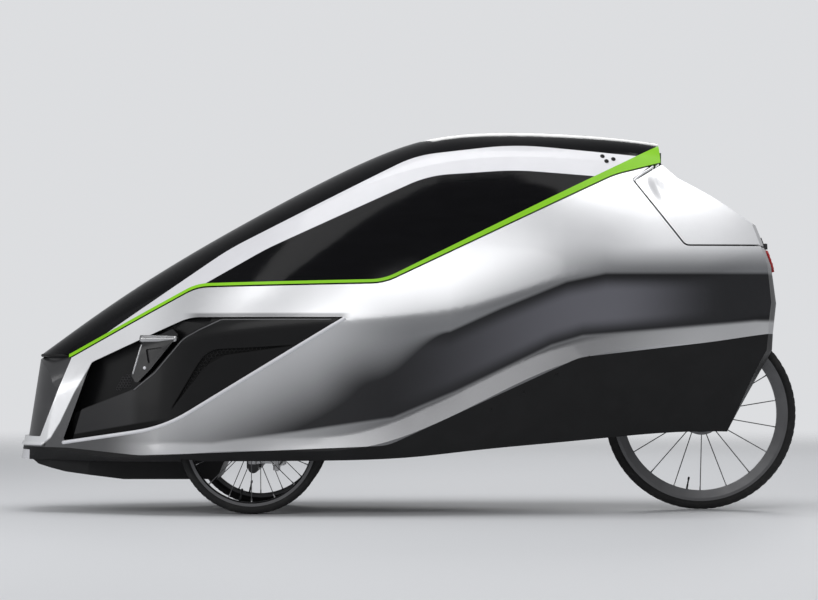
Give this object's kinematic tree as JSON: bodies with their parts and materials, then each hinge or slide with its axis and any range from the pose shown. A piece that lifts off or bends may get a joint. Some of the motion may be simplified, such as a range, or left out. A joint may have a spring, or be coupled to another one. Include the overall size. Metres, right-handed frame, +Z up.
{
  "type": "electric tricycle",
  "caption": "Enclosed streamlined single-seat electric tricycle with a tilting glazed canopy, steered front wheels, a driven rear wheel and a lidded boot.",
  "frame": {"origin": "on the floor, under the middle of the vehicle's length and width", "axes": "+X towards the rear, +Y to the vehicle's right, +Z up"},
  "size_m": [2.4574, 0.8284, 1.1945],
  "materials": {
    "body_paint": "metallic gloss",
    "gloss_black": "gloss",
    "matte_black": "satin",
    "dark_panel": "gloss",
    "white_trim": "gloss",
    "green_trim": "gloss",
    "smoked_glass": "gloss",
    "grey_lining": "matte",
    "seat_fabric": "woven",
    "tyre_rubber": "matte",
    "wheel_alloy": "satin",
    "chassis_steel": "satin",
    "bright_steel": "brushed",
    "battery_case": "satin",
    "lamp_lens": "gloss",
    "lamp_housing": "gloss"
  },
  "bodies": {
    "chassis": {"body_side_left": "body_paint", "body_side_right": "body_paint", "nose_panel": "dark_panel", "side_inset_left": "gloss_black", "side_inset_right": "gloss_black", "floor_pan": "matte_black", "lower_shell_left": "matte_black", "lower_shell_right": "matte_black", "chin_lip": "white_trim", "chin_tray": "matte_black", "front_axle": "chassis_steel", "rear_fork": "chassis_steel", "wheel_arch_left": "matte_black", "wheel_arch_right": "matte_black", "battery_pack": "battery_case", "seat_base": "matte_black", "seat_cushion": "seat_fabric", "seat_back": "seat_fabric", "seat_shell": "matte_black", "head_fairing": "grey_lining", "headrest": "seat_fabric", "cabin_bulkhead": "matte_black", "boot_floor": "matte_black", "canopy_hinge_base": "chassis_steel", "lid_hinge_base": "chassis_steel", "tail_lamp": "lamp_lens", "column_base": "chassis_steel", "lamp_pod_left": "lamp_housing", "lamp_pod_right": "lamp_housing"},
    "canopy": {"canopy_roof": "smoked_glass", "canopy_rail_left": "white_trim", "canopy_rail_right": "white_trim", "side_window_left": "smoked_glass", "side_window_right": "smoked_glass", "belt_trim": "green_trim", "canopy_hinge_leaf": "chassis_steel"},
    "boot": {"boot_lid": "body_paint", "lid_hinge_leaf": "chassis_steel"},
    "steer_left": {"knuckle_left": "bright_steel"},
    "steer_right": {"knuckle_right": "bright_steel"},
    "tie_rod": {"tie_rod": "bright_steel"},
    "handlebar": {"handlebar": "chassis_steel"},
    "front_left": {"front_left_tyre": "tyre_rubber", "front_left_wheel": "wheel_alloy"},
    "front_right": {"front_right_tyre": "tyre_rubber", "front_right_wheel": "wheel_alloy"},
    "rear": {"rear_tyre": "tyre_rubber", "rear_wheel": "wheel_alloy"}
  },
  "joints": [
    {"name": "canopy_tilt", "type": "hinge", "parent": "chassis", "child": "canopy", "pos_m": [0.791, 0, 1.082], "axis": [0, 1, 0], "range_deg": [0, 60]},
    {"name": "boot_open", "type": "hinge", "parent": "chassis", "child": "boot", "pos_m": [1.125, 0, 0.836], "axis": [0, 1, 0], "range_deg": [0, 75]},
    {"name": "steer_left", "type": "hinge", "parent": "chassis", "child": "steer_left", "pos_m": [-0.485, -0.215, 0.224], "axis": [0, 0, 1], "range_deg": [-16, 16]},
    {"name": "steer_right", "type": "hinge", "parent": "chassis", "child": "steer_right", "pos_m": [-0.485, 0.215, 0.224], "axis": [0, 0, 1], "range_deg": [-16, 16]},
    {"name": "tie_rod_pivot", "type": "hinge", "parent": "steer_left", "child": "tie_rod", "pos_m": [-0.41, -0.215, 0.141], "axis": [0, 0, 1], "range_deg": [-16, 16]},
    {"name": "handlebar_turn", "type": "hinge", "parent": "chassis", "child": "handlebar", "pos_m": [-0.33, 0, 0.185], "axis": [0.3597, 0, 0.9331], "range_deg": [-24, 24]},
    {"name": "front_left_spin", "type": "hinge", "parent": "steer_left", "child": "front_left", "pos_m": [-0.485, -0.27, 0.224], "axis": [0, 1, 0], "continuous": true},
    {"name": "front_right_spin", "type": "hinge", "parent": "steer_right", "child": "front_right", "pos_m": [-0.485, 0.27, 0.224], "axis": [0, 1, 0], "continuous": true},
    {"name": "rear_spin", "type": "hinge", "parent": "chassis", "child": "rear", "pos_m": [0.925, 0, 0.3035], "axis": [0, 1, 0], "continuous": true}
  ],
  "couplings": [
    {"joint": "steer_right", "follows": "steer_left", "ratio": 1},
    {"joint": "tie_rod_pivot", "follows": "steer_left", "ratio": -1},
    {"joint": "handlebar_turn", "follows": "steer_left", "ratio": 1.5}
  ]
}
